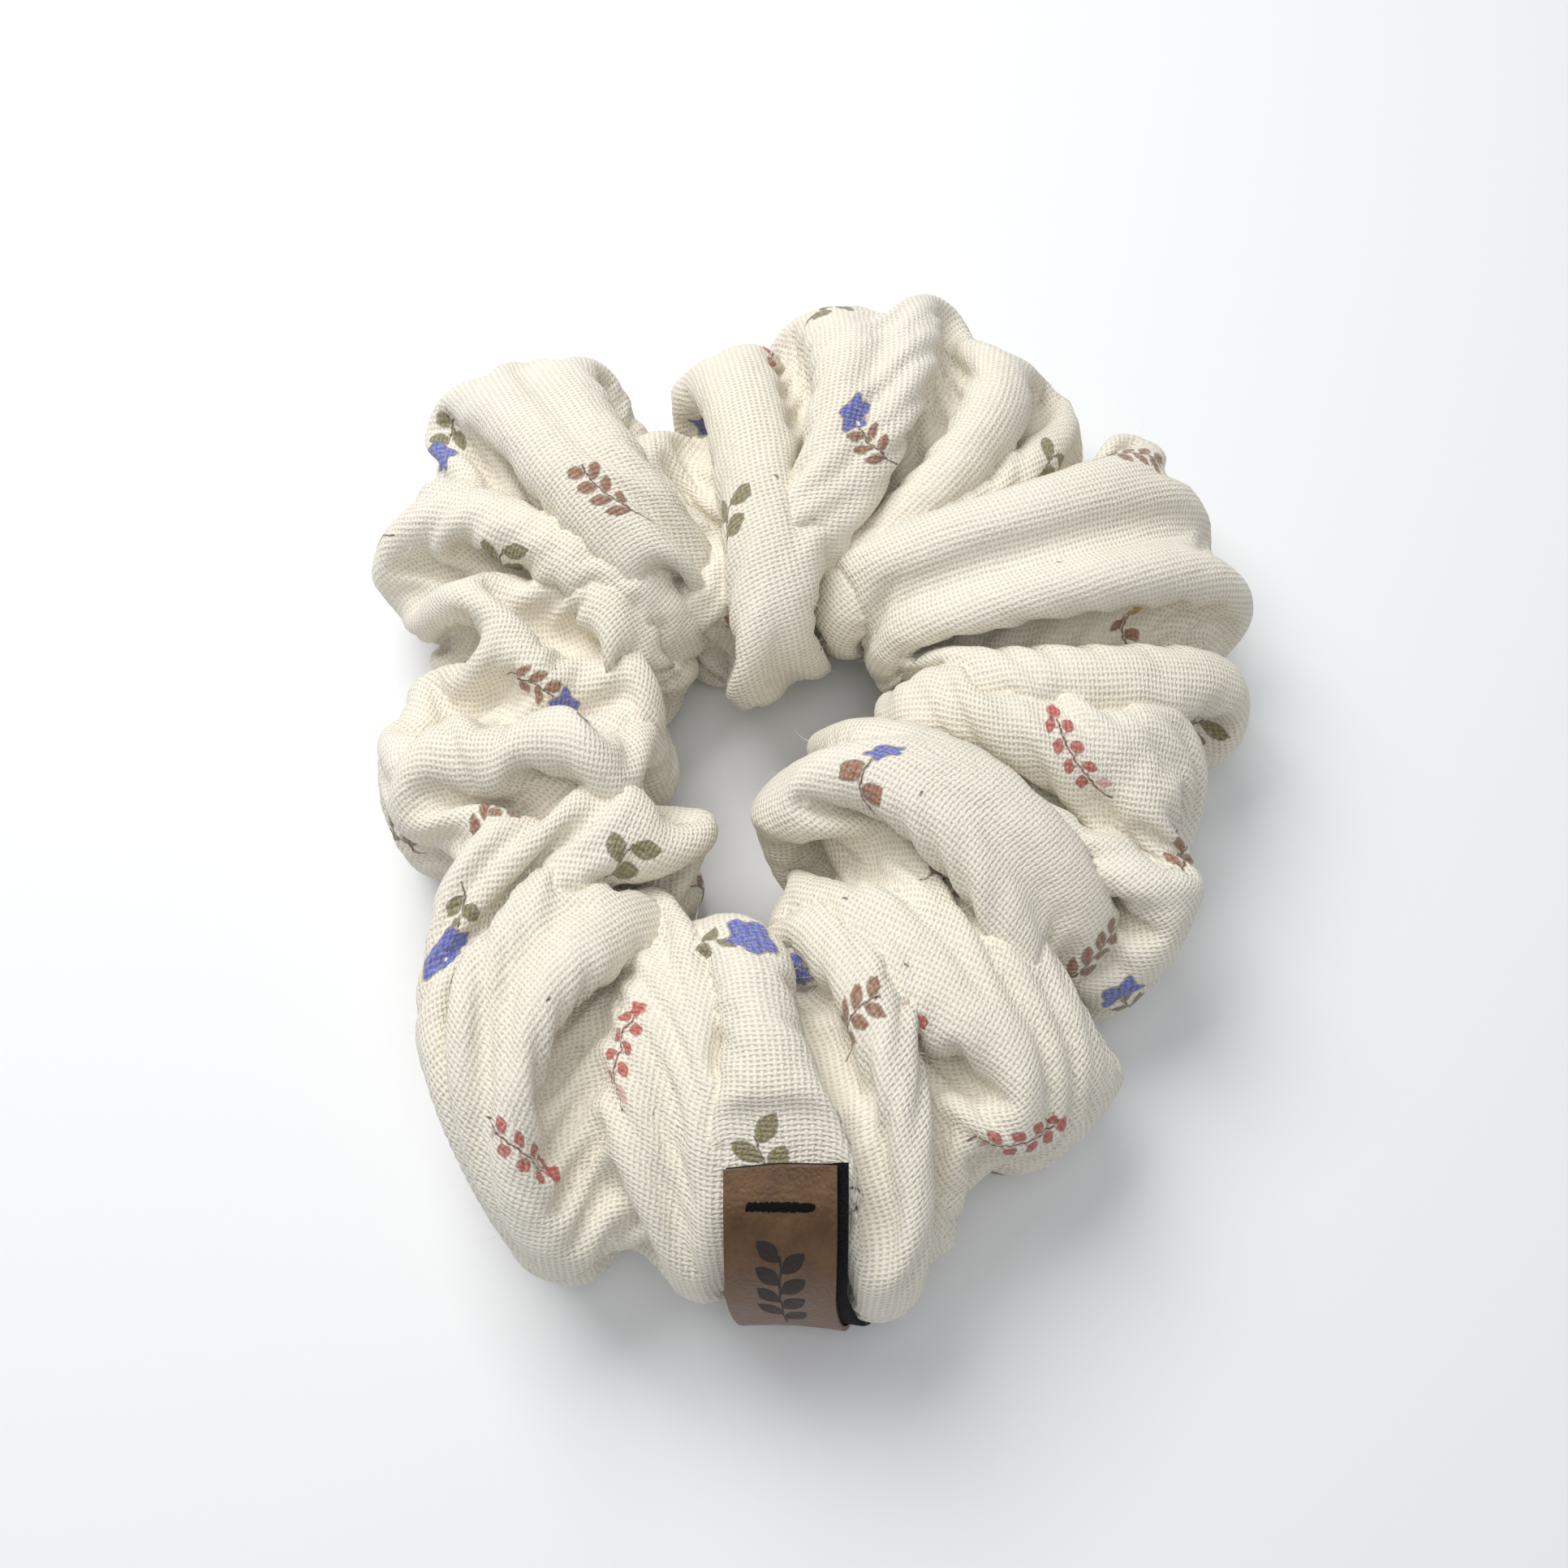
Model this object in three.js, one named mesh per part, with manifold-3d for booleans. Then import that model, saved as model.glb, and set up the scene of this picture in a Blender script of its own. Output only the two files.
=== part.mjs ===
// A fabric scrunchie: a gathered tube of printed cotton double gauze on a loop of flat elastic,
// with a folded brown label clamped round its front edge by one black bar tack.
// Millimetres, +Z up, the label faces -Y, and the scrunchie rests on z = 0.
import * as THREE from 'three';
import { ParametricGeometry } from 'three/addons/geometries/ParametricGeometry.js';
import { mergeVertices } from 'three/addons/utils/BufferGeometryUtils.js';
import Module from 'manifold-3d';

const wasm = await Module();
wasm.setup();

// ---- driving dimensions ---------------------------------------------------------------------

// the middle of the hair hole, seen from above
const ringCentre = { x: - 5.9, y: - 2.1 };

// the edge of the hole and the outer edge of the puffs, every 30 degrees round the ring from +X
const holeRadii = [ 11, 14, 17, 17, 18, 16, 14.5, 14.5, 18, 19, 13, 9.5 ];
const outerRadii = [ 56, 74, 75, 71, 68, 60, 49, 51, 66, 64.5, 64, 54 ];

// the gathered tube's section
const narrowHalfWidth = 17;
const tubeHalfHeight = 18.3; // where the tube is at its narrowest
const heightLostPerWidth = 0.16; // a wider stretch lies flatter, because the cloth is one width
const settle = 3; // how far the underside is pressed flat on the table
const puffCount = 16; // gathers round the ring
const puffDepth = 0.09; // share of the section that each gather pulls in
const ringSteps = 80;
const sectionSteps = 16;

// the relaxed loop of flat elastic inside
const elasticHalfX = 25.5;
const elasticHalfY = 34.5;
const elasticWidth = 7;
const elasticThickness = 1.2;
const elasticHeight = 15.5; // of the middle of the band above the table
const overlapLength = 12; // the band's two ends lie over each other
const overlapTurn = 0.22; // inside the back half
const layerClearance = 0.3;

// the channel that the cloth leaves round the elastic
const channelHeight = 12;
const channelInwards = 4.6; // from the elastic towards the hole, with the long seam in it
const channelOutwards = 3.6; // the other way, with the overlap and its stitches in it

// sewing thread
const threadRadius = 0.35;
const threadSides = 6;
const seamInset = 3; // from the elastic towards the hole
const seamHeight = 12.5;
const seamSteps = 48;
const seamOverrun = 0.02; // share of a turn past the cut, before it is cut flush
const zigzagPoints = 7;
const zigzagHeight = 4.4;
const zigzagSteps = 42;
const closingTurn = 0.83; // where the tube's two ends are sewn together, beside the label
const closingLength = 8;
const closingReach = 2;

// the folded label
const labelWidth = 12.5;
const labelX = - 3.5;
const faceThickness = 0.6;
const backingThickness = 0.9;
const glueGap = 0.1;
const clothClearance = 0.3;
const labelSteps = 26;
const tackLength = 7;
const tackRadius = 0.45;
const tackFromEnd = 4.5;

// the label's inner side, from its top end over the front edge and back under it, as (y, z)
const labelPath = [
	[ - 54, 32.2 ], [ - 59.5, 30 ], [ - 64.3, 24.8 ], [ - 66.9, 17.6 ], [ - 67.5, 9.6 ],
	[ - 66.1, 4.2 ], [ - 62.1, 2.7 ], [ - 57.1, 4.6 ], [ - 52.9, 7.6 ],
];

const cutGap = 0.3; // between the front and back halves of the ring
const far = 200; // larger than the part

const finishes = {
	gauze: { color: 0xebe2d0, roughness: 0.95, metalness: 0 },
	elastic: { color: 0xf1efe9, roughness: 0.8, metalness: 0 },
	thread: { color: 0xe6dcc6, roughness: 0.85, metalness: 0 },
	leather: { color: 0x7a4d2c, roughness: 0.5, metalness: 0 },
	felt: { color: 0x161414, roughness: 0.95, metalness: 0 },
	tack: { color: 0x0f0e0e, roughness: 0.7, metalness: 0 },
};

// ---- outlines round the ring ----------------------------------------------------------------

// A closed smooth curve through radii given at even turns.
function radiusAt( radii, turn ) {

	const place = turn * radii.length;
	const i = Math.floor( place );
	const t = place - i;
	const [ a, b, c, d ] = [ - 1, 0, 1, 2 ].map( ( k ) => radii[ ( i + k + radii.length ) % radii.length ] );
	const slope = 0.5 * ( c - a );
	const curve = a - 2.5 * b + 2 * c - 0.5 * d;
	const twist = 1.5 * ( b - c ) + 0.5 * ( d - a );
	return b + slope * t + curve * t * t + twist * t * t * t;

}

function elasticRadius( turn ) {

	const angle = turn * 2 * Math.PI;
	const spread = Math.hypot( elasticHalfY * Math.cos( angle ), elasticHalfX * Math.sin( angle ) );
	return elasticHalfX * elasticHalfY / spread;

}

function ringPoint( turn, radius, z, target = new THREE.Vector3() ) {

	const angle = turn * 2 * Math.PI;
	return target.set( ringCentre.x + radius * Math.cos( angle ), ringCentre.y + radius * Math.sin( angle ), z );

}

// ---- solids ---------------------------------------------------------------------------------

function toSolid( geometry ) {

	const bare = geometry.clone();
	bare.deleteAttribute( 'normal' );
	bare.deleteAttribute( 'uv' );
	const merged = mergeVertices( bare );
	const vertProperties = new Float32Array( merged.attributes.position.array );
	const triVerts = new Uint32Array( merged.index.array );
	return new wasm.Manifold( new wasm.Mesh( { numProp: 3, vertProperties, triVerts } ) );

}

function toGeometry( solid ) {

	const mesh = solid.getMesh();
	const geometry = new THREE.BufferGeometry();
	geometry.setAttribute( 'position', new THREE.BufferAttribute( mesh.vertProperties, 3 ) );
	geometry.setIndex( new THREE.BufferAttribute( mesh.triVerts, 1 ) );
	geometry.computeVertexNormals();
	return geometry;

}

// A closed ring with one section at each turn, given by place( turn, sectionTurn, target ).
function ringSolid( place, sides ) {

	const wrapped = ( u, v, target ) => place( u % 1, v % 1, target );
	return toSolid( new ParametricGeometry( wrapped, ringSteps, sides ) );

}

// The gathered cloth's outer shape, pressed flat where it rests.
function gatheredTube() {

	return ringSolid( ( turn, sectionTurn, target ) => {

		const inner = radiusAt( holeRadii, turn );
		const halfWidth = ( radiusAt( outerRadii, turn ) - inner ) / 2;
		const halfHeight = tubeHalfHeight - heightLostPerWidth * ( halfWidth - narrowHalfWidth );
		const puff = 1 - puffDepth * ( 0.5 + 0.5 * Math.cos( turn * puffCount * 2 * Math.PI ) );
		const angle = sectionTurn * 2 * Math.PI;
		const radius = inner + halfWidth * ( 1 + puff * Math.cos( angle ) );
		const z = halfHeight * ( 1 + puff * Math.sin( angle ) ) - settle;
		return ringPoint( turn, radius, Math.max( 0, z ), target );

	}, sectionSteps );

}

// A band that follows the elastic, between two distances from it and with a height of its own.
function band( from, to, height ) {

	const low = elasticHeight - height / 2;
	const high = elasticHeight + height / 2;
	const corners = [ [ to, low ], [ to, high ], [ from, high ], [ from, low ] ];
	return ringSolid( ( turn, sectionTurn, target ) => {

		const [ reach, z ] = corners[ Math.round( sectionTurn * corners.length ) % corners.length ];
		return ringPoint( turn, elasticRadius( turn ) + reach, z, target );

	}, corners.length );

}

// One half of a ring: side is -1 for the label's half and 1 for the other.
function half( solid, side ) {

	const box = new THREE.BoxGeometry( far, far, far );
	box.translate( 0, side * ( far + cutGap ) / 2, 0 );
	return solid.intersect( toSolid( box ) );

}

// The short length of the elastic where its end lies over its start.
function overlap() {

	const near = elasticThickness / 2 + layerClearance;
	const box = new THREE.BoxGeometry( far, overlapLength, far );
	box.translate( far / 2, 0, 0 );
	box.rotateZ( overlapTurn * 2 * Math.PI );
	box.translate( ringCentre.x, ringCentre.y, 0 );
	return band( near, near + elasticThickness, elasticWidth ).intersect( toSolid( box ) );

}

function thread( curve, steps ) {

	const section = new THREE.Shape();
	section.absarc( 0, 0, threadRadius, 0, 2 * Math.PI );
	const options = { steps, extrudePath: curve, bevelEnabled: false, curveSegments: threadSides / 2 };
	return toSolid( new THREE.ExtrudeGeometry( section, options ) );

}

// The long seam's thread in one half of the ring.
function seam( side ) {

	const start = side < 0 ? 0.5 - seamOverrun : - seamOverrun;
	const points = [];
	for ( let i = 0; i <= seamSteps / 2; i ++ ) {

		const turn = start + ( 0.5 + 2 * seamOverrun ) * i / ( seamSteps / 2 );
		points.push( ringPoint( turn, elasticRadius( turn ) - seamInset, seamHeight ) );

	}

	return half( thread( new THREE.CatmullRomCurve3( points ), seamSteps ), side );

}

// A zigzag of thread across the elastic's overlapped ends.
function overlapStitches() {

	const reach = 1.5 * elasticThickness + 2 * layerClearance + threadRadius;
	const span = 0.8 * overlapLength / ( 2 * Math.PI * elasticRadius( overlapTurn ) );
	const points = [];
	for ( let i = 0; i < zigzagPoints; i ++ ) {

		const turn = overlapTurn + span * ( i / ( zigzagPoints - 1 ) - 0.5 );
		const z = elasticHeight + zigzagHeight * ( i % 2 - 0.5 );
		points.push( ringPoint( turn, elasticRadius( turn ) + reach, z ) );

	}

	return thread( new THREE.CatmullRomCurve3( points ), zigzagSteps );

}

// The thread that closes the tube's two ends, seen inside the channel.
function closingThread() {

	const radius = elasticRadius( closingTurn ) + closingReach;
	const low = ringPoint( closingTurn, radius, elasticHeight - closingLength / 2 );
	const high = ringPoint( closingTurn, radius, elasticHeight + closingLength / 2 );
	return thread( new THREE.LineCurve3( low, high ), 1 );

}

// ---- the label ------------------------------------------------------------------------------

const labelCurve = new THREE.SplineCurve( labelPath.map( ( [ y, z ] ) => new THREE.Vector2( y, z ) ) );

// A point at a share of the label's length, and at a distance outside its inner side.
function besideLabel( share, distance, past = 0 ) {

	const along = labelCurve.getTangentAt( share );
	const outwards = new THREE.Vector2( along.y, - along.x );
	return labelCurve.getPointAt( share ).addScaledVector( outwards, distance ).addScaledVector( along, past );

}

// One layer of the label, grown on every side where it is only room cut in the cloth.
function labelLayer( near, out, grow = 0 ) {

	const shares = Array.from( { length: labelSteps + 1 }, ( _, i ) => i / labelSteps );
	const past = ( share ) => share === 0 ? - grow : share === 1 ? grow : 0;
	const inside = shares.map( ( share ) => besideLabel( share, near - grow, past( share ) ) );
	const outside = shares.map( ( share ) => besideLabel( share, out + grow, past( share ) ) );
	const shape = new THREE.Shape( [ ...inside, ...outside.reverse() ] );
	const layer = new THREE.ExtrudeGeometry( shape, { depth: labelWidth + 2 * grow, bevelEnabled: false } );
	const [ x, y, z ] = [ 0, 1, 2 ].map( ( axis ) => new THREE.Vector3().setComponent( axis, 1 ) );
	layer.applyMatrix4( new THREE.Matrix4().makeBasis( y, z, x ) );
	layer.translate( labelX - labelWidth / 2 - grow, 0, 0 );
	return toSolid( layer );

}

// The bar of thread that holds the label, lying across its face.
function labelTack() {

	const out = backingThickness + glueGap + faceThickness + glueGap + tackRadius;
	const place = besideLabel( tackFromEnd / labelCurve.getLength(), out );
	const bar = new THREE.CapsuleGeometry( tackRadius, tackLength - 2 * tackRadius, 3, 8 );
	bar.rotateZ( Math.PI / 2 );
	bar.translate( labelX, place.x, place.y );
	return toSolid( bar );

}

// ---- assembly -------------------------------------------------------------------------------

const scrunchie = new THREE.Group();

function addPiece( name, solid, finish ) {

	const mesh = new THREE.Mesh( toGeometry( solid ), new THREE.MeshStandardMaterial( finishes[ finish ] ) );
	mesh.name = name;
	scrunchie.add( mesh );

}

const labelThickness = backingThickness + glueGap + faceThickness;
const channel = band( - channelInwards, channelOutwards, channelHeight );
const cover = gatheredTube().subtract( channel ).subtract( labelLayer( 0, labelThickness, clothClearance ) );
const elastic = band( - elasticThickness / 2, elasticThickness / 2, elasticWidth );

for ( const [ end, side ] of [ [ 'front', - 1 ], [ 'back', 1 ] ] ) {

	addPiece( `cover_${ end }`, half( cover, side ), 'gauze' );
	addPiece( `elastic_${ end }`, half( elastic, side ), 'elastic' );
	addPiece( `seam_thread_${ end }`, seam( side ), 'thread' );

}

addPiece( 'elastic_overlap', overlap(), 'elastic' );
addPiece( 'overlap_stitches', overlapStitches(), 'thread' );
addPiece( 'closing_thread', closingThread(), 'thread' );
addPiece( 'label_backing', labelLayer( 0, backingThickness ), 'felt' );
addPiece( 'label_face', labelLayer( backingThickness + glueGap, labelThickness ), 'leather' );
addPiece( 'label_tack', labelTack(), 'tack' );

export default scrunchie;
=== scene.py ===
# %% [markdown]
# # A gathered scrunchie
#
# A scrunchie is a long tube of thin cloth, gathered on a loop of elastic that is less than half as long.
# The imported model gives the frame: where the ring lies, where it is cut for its stretch joint and where
# the label sits. This lesson makes the looks round that frame: the gathered double gauze with its little
# print, the elastic and the sewing inside it, the folded label, and the fluff that cotton always has.

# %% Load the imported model
import math

import bpy
import numpy as np
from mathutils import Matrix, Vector


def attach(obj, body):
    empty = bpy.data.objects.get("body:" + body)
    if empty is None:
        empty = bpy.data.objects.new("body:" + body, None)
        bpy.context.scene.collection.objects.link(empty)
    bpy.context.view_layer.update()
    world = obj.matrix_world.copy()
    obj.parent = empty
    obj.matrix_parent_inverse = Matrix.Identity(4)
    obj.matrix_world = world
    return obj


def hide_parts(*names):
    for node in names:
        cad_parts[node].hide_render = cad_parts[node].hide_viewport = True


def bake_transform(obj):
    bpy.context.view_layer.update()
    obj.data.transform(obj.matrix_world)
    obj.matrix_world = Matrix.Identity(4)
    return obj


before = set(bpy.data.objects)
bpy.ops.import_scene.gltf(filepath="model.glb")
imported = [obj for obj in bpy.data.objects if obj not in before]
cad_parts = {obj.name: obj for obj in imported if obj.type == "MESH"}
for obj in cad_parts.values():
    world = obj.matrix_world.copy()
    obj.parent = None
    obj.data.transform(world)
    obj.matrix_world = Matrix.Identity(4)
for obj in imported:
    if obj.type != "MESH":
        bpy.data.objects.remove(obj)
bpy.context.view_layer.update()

MM = 0.001


def add_object(name, data):
    thing = bpy.data.objects.new(name, data)
    bpy.context.scene.collection.objects.link(thing)
    return thing


def mesh_of(name, points, faces):
    """A mesh from points in mm and the point numbers of each face."""
    mesh = bpy.data.meshes.new(name)
    mesh.from_pydata((points * MM).tolist(), [], faces)
    return mesh


# %% [markdown]
# ## Camera, table and light
#
# The view is from above and a little in front, so the camera stands on a steep line out of the ring's
# middle. A camera is easiest to place by what it looks at, its height angle and its distance. The table
# is a plain pale sheet. A wide soft lamp behind and to the left is near enough for its light to fade
# across the table. A weaker one overhead, a little in front, fills the folds. Together they give the
# faint shadows of a bright room.

# %% Aim the camera
VIEW_HEIGHT = math.radians(68)
VIEW_DISTANCE = 235 * MM
LOOK_AT = Vector((-3.1, -1.8, 14)) * MM
LENS = 41.5
SENSOR = 36


def aim_camera():
    data = bpy.data.cameras.new("view")
    data.lens = LENS
    data.sensor_width = SENSOR
    camera = add_object("view", data)
    away = Vector((0, -math.cos(VIEW_HEIGHT), math.sin(VIEW_HEIGHT)))
    camera.location = LOOK_AT + away * VIEW_DISTANCE
    camera.rotation_euler = away.to_track_quat("Z", "Y").to_euler()
    bpy.context.scene.camera = camera
    print("camera stands at", [round(v / MM) for v in camera.location], "mm")


aim_camera()

# %% Lay the table and hang the lamps
TABLE_SIZE = 3.0
ROOM_COLOUR = (0.93, 0.96, 1.0)
ROOM_STRENGTH = 0.31


def plain_material(name, colour, roughness):
    material = bpy.data.materials.new(name)
    material.use_nodes = True
    shader = material.node_tree.nodes["Principled BSDF"]
    shader.inputs["Base Color"].default_value = (*colour, 1)
    shader.inputs["Roughness"].default_value = roughness
    return material


def lay_table():
    bpy.ops.object.select_all(action="DESELECT")
    bpy.ops.mesh.primitive_plane_add(size=TABLE_SIZE)
    table = bpy.context.object
    table.name = "table"
    table.data.materials.append(plain_material("white paper", (0.86, 0.87, 0.885), 0.8))


def hang_lamp(name, place, size, power, colour=(1, 1, 1)):
    data = bpy.data.lights.new(name, "AREA")
    data.size = size
    data.energy = power
    data.color = colour
    lamp = add_object(name, data)
    lamp.location = place
    lamp.rotation_euler = Vector(place).to_track_quat("Z", "Y").to_euler()


def light_room():
    world = bpy.data.worlds.new("room")
    bpy.context.scene.world = world
    world.use_nodes = True
    light = world.node_tree.nodes["Background"]
    light.inputs["Color"].default_value = (*ROOM_COLOUR, 1)
    light.inputs["Strength"].default_value = ROOM_STRENGTH
    hang_lamp("window", place=(-0.20, 0.26, 0.48), size=0.38, power=2.8, colour=(1.0, 0.99, 0.97))
    hang_lamp("ceiling", place=(0.05, -0.22, 0.85), size=0.5, power=1.6)
    bpy.context.scene.view_settings.view_transform = "Standard"
    print("room lit by", len(bpy.data.lights), "lamps")


lay_table()
light_room()


# %% [markdown]
# ## The gathered tube, step 1: where the folds go
#
# Gathered cloth is a row of puffs with deep valleys between them. Each puff runs across the tube, from
# the hole, over the top, to the outer edge. A table holds one line for each puff, clockwise from the
# label: its end at the hole, a place on its crest, its end at the outer edge, how high it stands, how
# much cloth it takes up, and the notch in the outer edge after it. All are millimetres in the model's
# frame.
#
# Folds could also be left to chance, by squeezing a straight tube until it buckles. A table is used
# because it puts each puff where this scrunchie has it, and the cloth simulation then only has to make
# them real.

# %% List the puffs
PUFFS = [
    # hole end, crest, outer end, height, cloth, notch after it
    ((-16, -21), (-15, -43), (-16, -65), 33, 21, (-22, -59)),
    ((-21, -17), (-37, -35), (-39, -58), 33, 44, (-46, -18)),
    ((-15, -12), (-28, -11), (-46, -17), 31, 15, (-43, -12)),
    ((-19, -2), (-34, -4), (-53, -4), 30, 26, (-45, 8)),
    ((-21, 7), (-31, 11), (-49, 13), 27, 15, (-45, 17)),
    ((-20, 12), (-32, 18), (-51, 21), 27, 15, (-48, 27)),
    ((-18, 16), (-33, 27), (-56, 33), 30, 22, (-48, 42)),
    ((-15, 19), (-29, 36), (-42, 60), 33, 46, (-22, 44)),
    ((-11, 18), (-17, 35), (-20, 49), 25, 15, (-15, 51)),
    ((-4, 10), (-7, 30), (-13, 67), 32, 25, (-5, 61)),
    ((-1, 22), (9, 45), (9, 70), 33, 36, (20, 64)),
    ((1, 23), (25, 43), (27, 61), 30, 22, (33, 52)),
    ((1, 22), (18, 32), (41, 51), 28, 17, (39, 45)),
    ((3, 21), (28, 22), (59, 38), 34, 46, (53, 17)),
    ((13, 10), (32, 8), (57, 11), 29, 24, (46, 4)),
    ((11, 5), (29, -1), (51, -4), 30, 24, (42, -13)),
    ((8, -1), (37, -16), (45, -24), 26, 24, (33, -27)),
    ((-3, -3), (16, -5), (36, -30), 35, 42, (29, -36)),
    ((-4, -18), (16, -31), (36, -48), 32, 30, (16, -49)),
    ((-3, -22), (8, -39), (11, -68), 33, 30, (3, -60)),
    ((-10, -24), (-6, -41), (-4, -67), 35, 22, (-9, -63)),
]
CLOTH_LENGTH = float(sum(puff[4] for puff in PUFFS))
CLOTH_ROUND = 112.0
print(len(PUFFS), "puffs take up", CLOTH_LENGTH, "mm of cloth")


# %% [markdown]
# The cloth is a grid. Its rows are sections of the tube, one after the other along the strip, and a row's
# points go once round the tube: hole side, top, outer side, underside. Rows on a crest follow the puff,
# rows in a valley lie closer to the elastic, and half a circle takes one into the other, so every puff
# starts with a round back.

# %% Draw the puffs as a grid
ROWS = 300
AROUND = 62
VALLEY_AT_HOLE = 6.0
VALLEY_AT_EDGE = 3.0
VALLEY_ON_TOP = 8.0
VALLEY_BELOW = 6.0
TABLE_GAP = 0.3
ROUND_BACK = 0.75
BOXY = 0.85


def towards(start, end, distance):
    way = end - start
    length = np.linalg.norm(way, axis=1, keepdims=True)
    return start + way / length * np.minimum(distance, 0.45 * length)


def puff_columns():
    columns = [np.array([puff[i] for puff in PUFFS], float) for i in range(6)]
    return [c if c.ndim == 2 else c[:, None] for c in columns]


def signed_power(values, power):
    return np.sign(values) * np.abs(values) ** power


def draw_puffs():
    hole, crest, edge, height, cloth, notch = puff_columns()

    def after(values):
        return np.roll(values, -1, axis=0)

    middle = (hole + after(hole)) / 2
    low_hole = towards(middle, notch, VALLEY_AT_HOLE)
    low_edge = towards(notch, middle, VALLEY_AT_EDGE)
    low_crest = (crest + after(crest)) / 2
    low_height = np.minimum(height, after(height)) - VALLEY_ON_TOP

    ends = np.cumsum(cloth[:, 0])
    along = (np.arange(ROWS) + 0.5) / ROWS * CLOTH_LENGTH
    puff = np.searchsorted(ends, along, side="right")
    before = puff - 1
    turn = math.pi * (along - (ends - cloth[:, 0])[puff]) / cloth[puff, 0]
    across = ((1 - np.cos(turn)) / 2)[:, None]
    rise = (np.sin(turn) ** ROUND_BACK)[:, None]

    def row(high, low):
        straight = low[before] * (1 - across) + low[puff] * across
        return straight + rise * (high[puff] - (low[before] + low[puff]) / 2)

    at_hole, at_crest, at_edge = row(hole, low_hole), row(crest, low_crest), row(edge, low_edge)
    top = row(height, low_height)
    bottom = (1 - rise) * VALLEY_BELOW + TABLE_GAP

    angle = np.arange(AROUND) / AROUND * 2 * math.pi
    out = -signed_power(np.cos(angle), BOXY)[None, :, None]
    up = signed_power(np.sin(angle), BOXY)[None, :]
    straight = ((at_hole + at_edge) / 2)[:, None]
    bent = straight + (at_crest[:, None] - straight) * (np.clip(up, 0, 1) ** 0.7)[..., None]
    grid = np.zeros((ROWS, AROUND, 3))
    grid[..., :2] = at_hole[:, None] * out * (out - 1) / 2 + bent * (1 - out ** 2)
    grid[..., :2] += at_edge[:, None] * out * (out + 1) / 2
    grid[..., 2] = (top + bottom) / 2 + (top - bottom) / 2 * up
    return grid


drawn = draw_puffs()
print("drawn grid", drawn.shape, "mm box", drawn.min((0, 1)).round(), drawn.max((0, 1)).round())


# %% [markdown]
# ## The gathered tube, step 2: let the cloth settle
#
# Blender has a cloth simulation, and it is the first thing to try on a curtain or a flag. A tube packed
# as tightly as this one touches itself everywhere and is held by its own fullness, so this lesson uses a
# small solver of the same family, written with numpy. It keeps the grid's edges at their length, resists
# sharp bends, keeps touching folds apart, and fills the tube with a little pressure. Each step moves all
# points a little, then puts right whatever that broke. It runs for seconds instead of minutes and gives
# the same folds each time.

# %% Write the cloth solver
ELASTIC_MIDDLE = np.array([-5.9, -2.1, 15.5])
ELASTIC_HALF = (25.5, 34.5)
ELASTIC_CLEARANCE = 4.0
GRAVITY = 0.01
KEPT_SPEED = 0.9
THREAD_FIRMNESS = 0.9
SLANT_FIRMNESS = 0.3


def outward(grid):
    along = np.roll(grid, -1, 0) - np.roll(grid, 1, 0)
    round_it = np.roll(grid, -1, 1) - np.roll(grid, 1, 1)
    normal = np.cross(along, round_it)
    return normal / (np.linalg.norm(normal, axis=-1, keepdims=True) + 1e-9)


def thread_pull(grid, rows, points, rest, firmness):
    """How points move when each distance to the point (rows, points) further on is drawn to rest."""
    gap = np.roll(grid, (-rows, -points), (0, 1)) - grid
    length = np.sqrt((gap * gap).sum(-1, keepdims=True)) + 1e-9
    pull = gap * ((length - rest) / length * 0.25 * firmness)
    return pull - np.roll(pull, (rows, points), (0, 1))


def hold_threads(grid, steps, bends):
    length, width = steps
    slant = math.hypot(length, width)
    along = thread_pull(grid, 1, 0, length, THREAD_FIRMNESS)
    grid += along + thread_pull(grid, 0, 1, width, THREAD_FIRMNESS)
    slanting = thread_pull(grid, 1, 1, slant, SLANT_FIRMNESS)
    grid += slanting + thread_pull(grid, 1, -1, slant, SLANT_FIRMNESS)
    for far, firmness in bends:
        grid += thread_pull(grid, far, 0, far * length, firmness)
        grid += thread_pull(grid, 0, far, far * width, firmness)


def close_pairs(points, reach):
    """All pairs nearer than reach: points are sorted into boxes, and only next boxes are compared."""
    box = np.floor((points - points.min(0)) / reach).astype(np.int64) + 1
    _, wide, high = box.max(0) + 2
    key = (box[:, 0] * wide + box[:, 1]) * high + box[:, 2]
    order = np.argsort(key, kind="stable")
    key = key[order]
    count = np.arange(len(points))
    firsts, seconds = [], []

    def collect(start, end):
        number = np.maximum(end - start, 0)
        here = np.repeat(count, number)
        offset = np.arange(number.sum()) - np.repeat(np.cumsum(number) - number, number)
        firsts.append(order[here])
        seconds.append(order[np.repeat(start, number) + offset])

    collect(count + 1, np.searchsorted(key, key, side="right"))
    steps = (-1, 0, 1)
    for step in [(i, j, k) for i in steps for j in steps for k in steps if (i, j, k) > (0, 0, 0)]:
        other = key + (step[0] * wide + step[1]) * high + step[2]
        collect(np.searchsorted(key, other, side="left"), np.searchsorted(key, other, side="right"))
    first, second = np.concatenate(firsts), np.concatenate(seconds)
    gap = points[first] - points[second]
    near = (gap * gap).sum(1) < reach * reach
    return first[near], second[near]


def touching_pairs(grid, thickness, steps):
    """Close pairs that aren't neighbours in the cloth itself."""
    rows, around, _ = grid.shape
    first, second = close_pairs(grid.reshape(-1, 3), thickness * 1.5)
    between_rows = np.abs(first // around - second // around)
    between_rows = np.minimum(between_rows, rows - between_rows) * steps[0]
    between_points = np.abs(first % around - second % around)
    between_points = np.minimum(between_points, around - between_points) * steps[1]
    apart = np.hypot(between_rows, between_points) > thickness * 1.6
    return first[apart], second[apart]


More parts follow.
